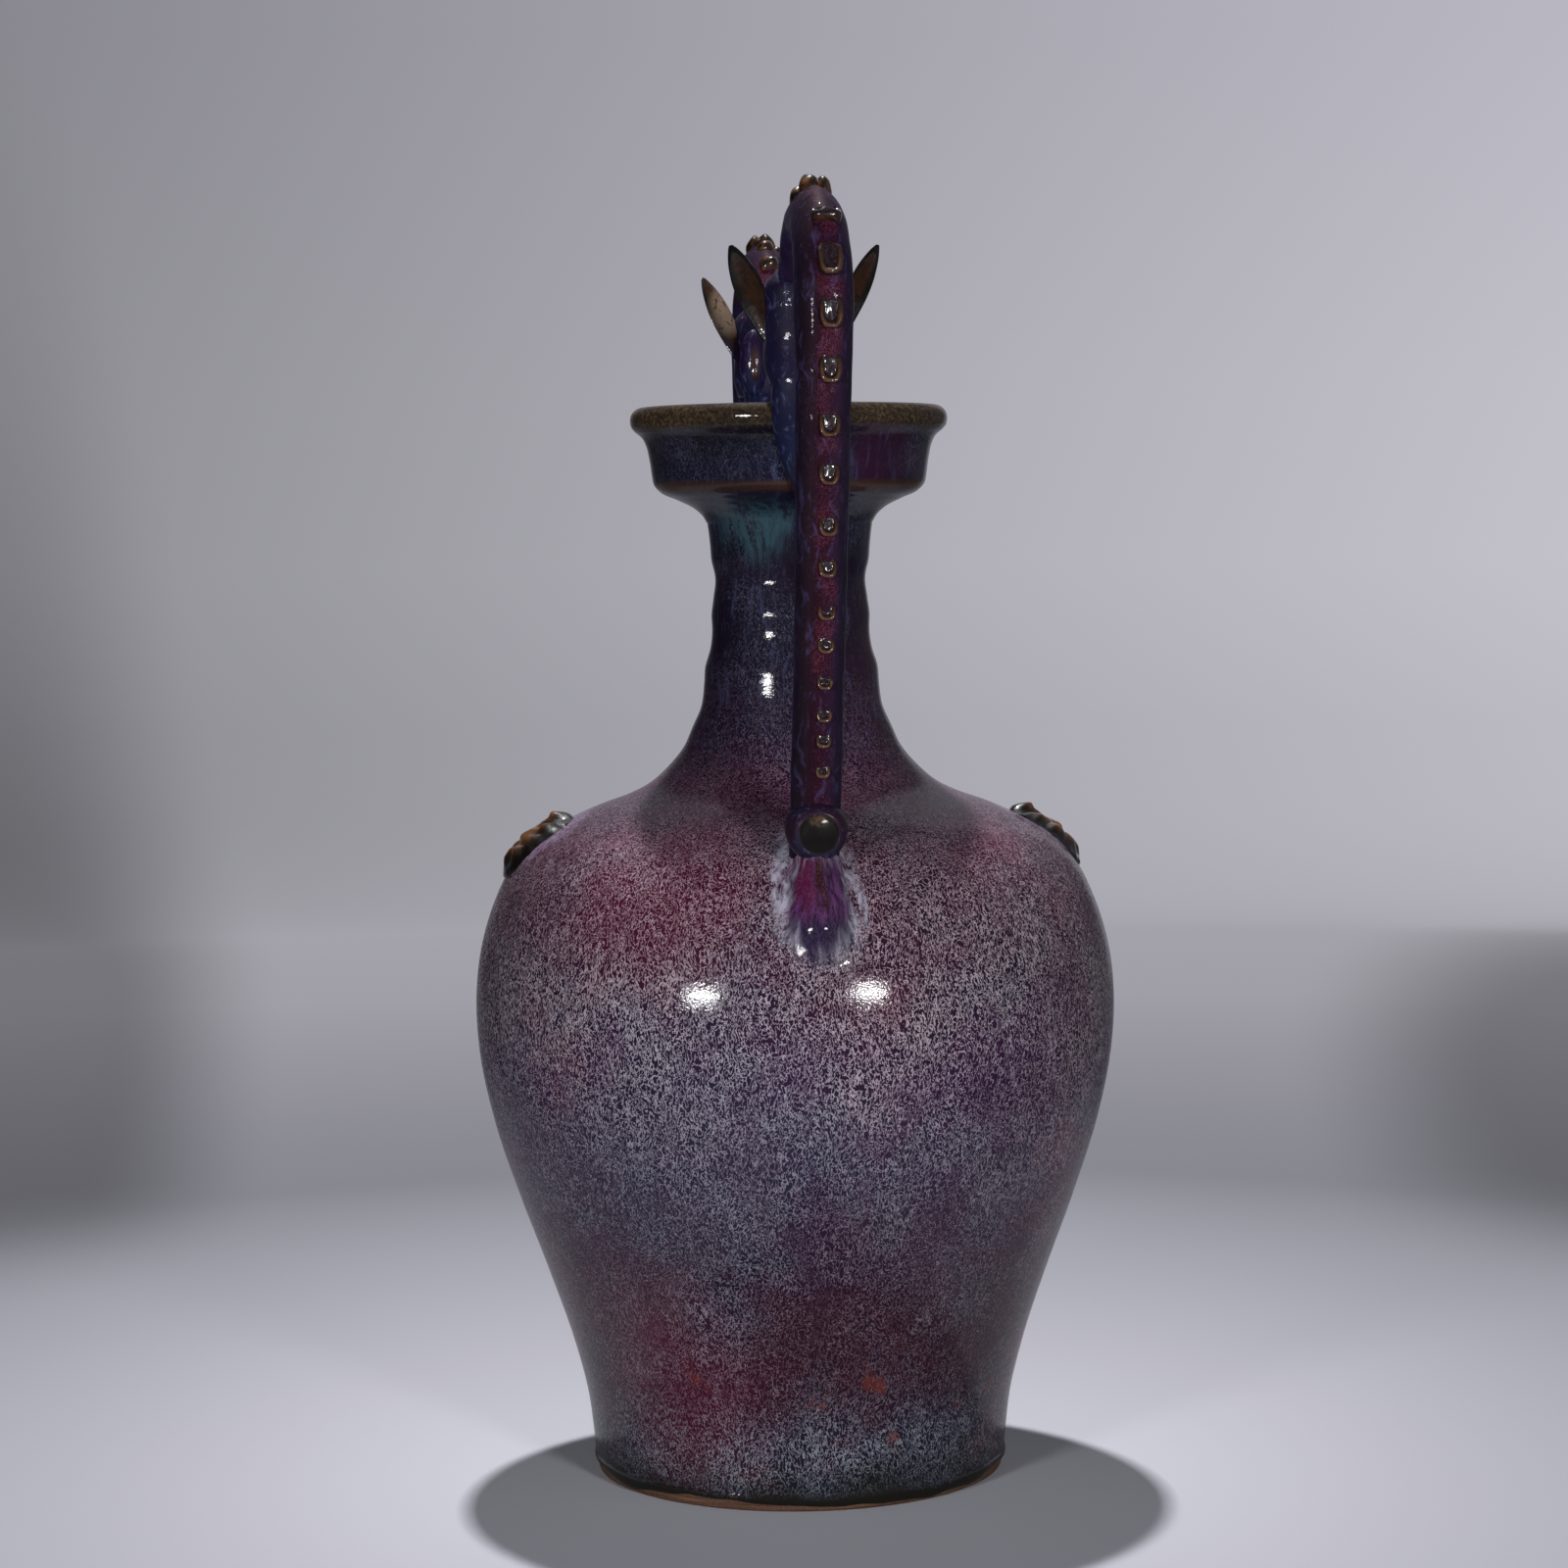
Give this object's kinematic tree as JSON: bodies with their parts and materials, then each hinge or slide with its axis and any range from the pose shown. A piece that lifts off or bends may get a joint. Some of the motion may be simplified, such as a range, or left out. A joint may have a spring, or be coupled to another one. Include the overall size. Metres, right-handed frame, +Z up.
{
  "type": "double dragon vase",
  "caption": "Tall stoneware vase with a dish mouth and two dragon handles that arch up from the shoulder and bite the rim, under a flecked flambe glaze.",
  "frame": {"origin": "centre of the foot, on the surface the vase stands on", "axes": "+Z up along the vase's axis; the two dragons face each other along X; the medallions lie on -Y and +Y"},
  "size_m": [0.226, 0.2024, 0.4021],
  "materials": {
    "body_glaze": "glossy plum and navy flambe glaze with pale flecks",
    "dragon_glaze": "glossy dark purple glaze with crimson and blue streaks",
    "brown_glaze": "glossy amber to black-brown glaze",
    "bare_clay": "unglazed brown stoneware"
  },
  "bodies": {
    "root": {"foot_ring": "bare_clay", "base_floor": "body_glaze", "lower_body": "body_glaze", "upper_body": "body_glaze", "neck": "body_glaze", "dish_mouth": "body_glaze", "front_medallion": "brown_glaze", "back_medallion": "brown_glaze", "right_dragon_body": "dragon_glaze", "right_dragon_tail_knob": "dragon_glaze", "right_dragon_scutes": "brown_glaze", "right_dragon_crest": "brown_glaze", "right_dragon_head": "dragon_glaze", "right_dragon_upper_jaw": "dragon_glaze", "right_dragon_lower_jaw": "dragon_glaze", "right_dragon_front_ear": "brown_glaze", "right_dragon_back_ear": "brown_glaze", "right_dragon_brows": "dragon_glaze", "right_dragon_eyes": "brown_glaze", "left_dragon_body": "dragon_glaze", "left_dragon_tail_knob": "dragon_glaze", "left_dragon_scutes": "brown_glaze", "left_dragon_crest": "brown_glaze", "left_dragon_head": "dragon_glaze", "left_dragon_upper_jaw": "dragon_glaze", "left_dragon_lower_jaw": "dragon_glaze", "left_dragon_front_ear": "brown_glaze", "left_dragon_back_ear": "brown_glaze", "left_dragon_brows": "dragon_glaze", "left_dragon_eyes": "brown_glaze"}
  },
  "joints": []
}
